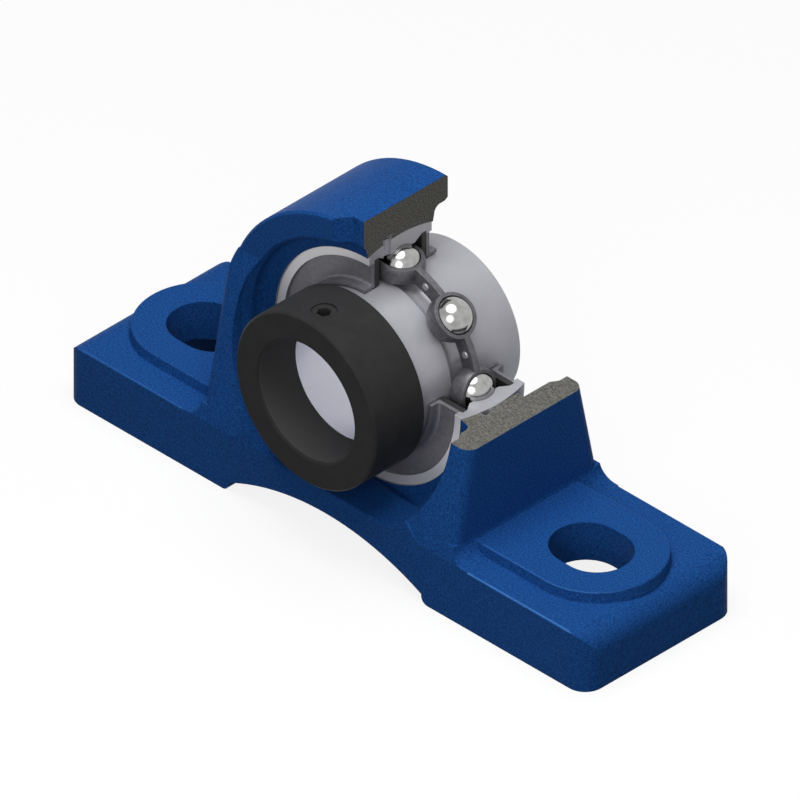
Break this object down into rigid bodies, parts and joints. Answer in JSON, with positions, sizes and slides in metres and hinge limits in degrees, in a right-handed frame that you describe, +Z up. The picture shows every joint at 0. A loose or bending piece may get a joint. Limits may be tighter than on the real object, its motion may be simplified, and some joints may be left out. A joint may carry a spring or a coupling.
{
  "type": "pillow block bearing",
  "caption": "Cast pillow block on two slotted feet, cut open at one upper quarter to show a self-aligning ball bearing with riveted cage, seals and eccentric locking collar.",
  "frame": {"origin": "middle of the bolt pattern, on the face that the feet stand on", "axes": "+X along the base, +Y along the shaft away from the locking collar, +Z up"},
  "size_m": [0.165, 0.0541, 0.0829],
  "materials": {
    "blue_casting": "blue paint over a fine cast grain, bare iron on the cut faces",
    "ground_steel": "ground",
    "black_steel": "black oxide, satin",
    "cage_steel": "dull, as stamped",
    "rivet_steel": "bright",
    "shield_steel": "dull grey, pressed",
    "seal_rubber": "matt",
    "ball_steel": "polished"
  },
  "bodies": {
    "housing": {"housing": "blue_casting"},
    "outer_ring": {"outer_ring": "ground_steel", "front_seal_shield": "shield_steel", "front_seal_rubber": "seal_rubber", "rear_seal_shield": "shield_steel", "rear_seal_rubber": "seal_rubber"},
    "inner_ring": {"inner_ring": "ground_steel", "locking_collar": "black_steel", "collar_set_screw": "black_steel"},
    "cage": {"cage_front": "cage_steel", "cage_rear": "cage_steel", "cage_rivets": "rivet_steel"},
    "ball_1": {"ball_1": "ball_steel"},
    "ball_2": {"ball_2": "ball_steel"},
    "ball_3": {"ball_3": "ball_steel"},
    "ball_4": {"ball_4": "ball_steel"},
    "ball_5": {"ball_5": "ball_steel"},
    "ball_6": {"ball_6": "ball_steel"},
    "ball_7": {"ball_7": "ball_steel"},
    "ball_8": {"ball_8": "ball_steel"}
  },
  "joints": [
    {"name": "self_align", "type": "hinge", "parent": "housing", "child": "outer_ring", "pos_m": [0, 0, 0.0429], "axis": [1, 0, 0], "range_deg": [-2, 2]},
    {"name": "shaft_spin", "type": "hinge", "parent": "outer_ring", "child": "inner_ring", "pos_m": [0, 0, 0.0429], "axis": [0, 1, 0], "continuous": true},
    {"name": "cage_spin", "type": "hinge", "parent": "outer_ring", "child": "cage", "pos_m": [0, 0, 0.0429], "axis": [0, 1, 0], "continuous": true},
    {"name": "ball_1_roll", "type": "hinge", "parent": "cage", "child": "ball_1", "pos_m": [0, 0, 0.0659], "axis": [0, 1, 0], "continuous": true},
    {"name": "ball_2_roll", "type": "hinge", "parent": "cage", "child": "ball_2", "pos_m": [0.01626, 0, 0.05916], "axis": [0, 1, 0], "continuous": true},
    {"name": "ball_3_roll", "type": "hinge", "parent": "cage", "child": "ball_3", "pos_m": [0.023, 0, 0.0429], "axis": [0, 1, 0], "continuous": true},
    {"name": "ball_4_roll", "type": "hinge", "parent": "cage", "child": "ball_4", "pos_m": [0.01626, 0, 0.02664], "axis": [0, 1, 0], "continuous": true},
    {"name": "ball_5_roll", "type": "hinge", "parent": "cage", "child": "ball_5", "pos_m": [0, 0, 0.0199], "axis": [0, 1, 0], "continuous": true},
    {"name": "ball_6_roll", "type": "hinge", "parent": "cage", "child": "ball_6", "pos_m": [-0.01626, 0, 0.02664], "axis": [0, 1, 0], "continuous": true},
    {"name": "ball_7_roll", "type": "hinge", "parent": "cage", "child": "ball_7", "pos_m": [-0.023, 0, 0.0429], "axis": [0, 1, 0], "continuous": true},
    {"name": "ball_8_roll", "type": "hinge", "parent": "cage", "child": "ball_8", "pos_m": [-0.01626, 0, 0.05916], "axis": [0, 1, 0], "continuous": true}
  ],
  "couplings": [
    {"joint": "cage_spin", "follows": "shaft_spin", "ratio": 0.39647},
    {"joint": "ball_1_roll", "follows": "shaft_spin", "ratio": -2.3112},
    {"joint": "ball_2_roll", "follows": "shaft_spin", "ratio": -2.3112},
    {"joint": "ball_3_roll", "follows": "shaft_spin", "ratio": -2.3112},
    {"joint": "ball_4_roll", "follows": "shaft_spin", "ratio": -2.3112},
    {"joint": "ball_5_roll", "follows": "shaft_spin", "ratio": -2.3112},
    {"joint": "ball_6_roll", "follows": "shaft_spin", "ratio": -2.3112},
    {"joint": "ball_7_roll", "follows": "shaft_spin", "ratio": -2.3112},
    {"joint": "ball_8_roll", "follows": "shaft_spin", "ratio": -2.3112}
  ]
}
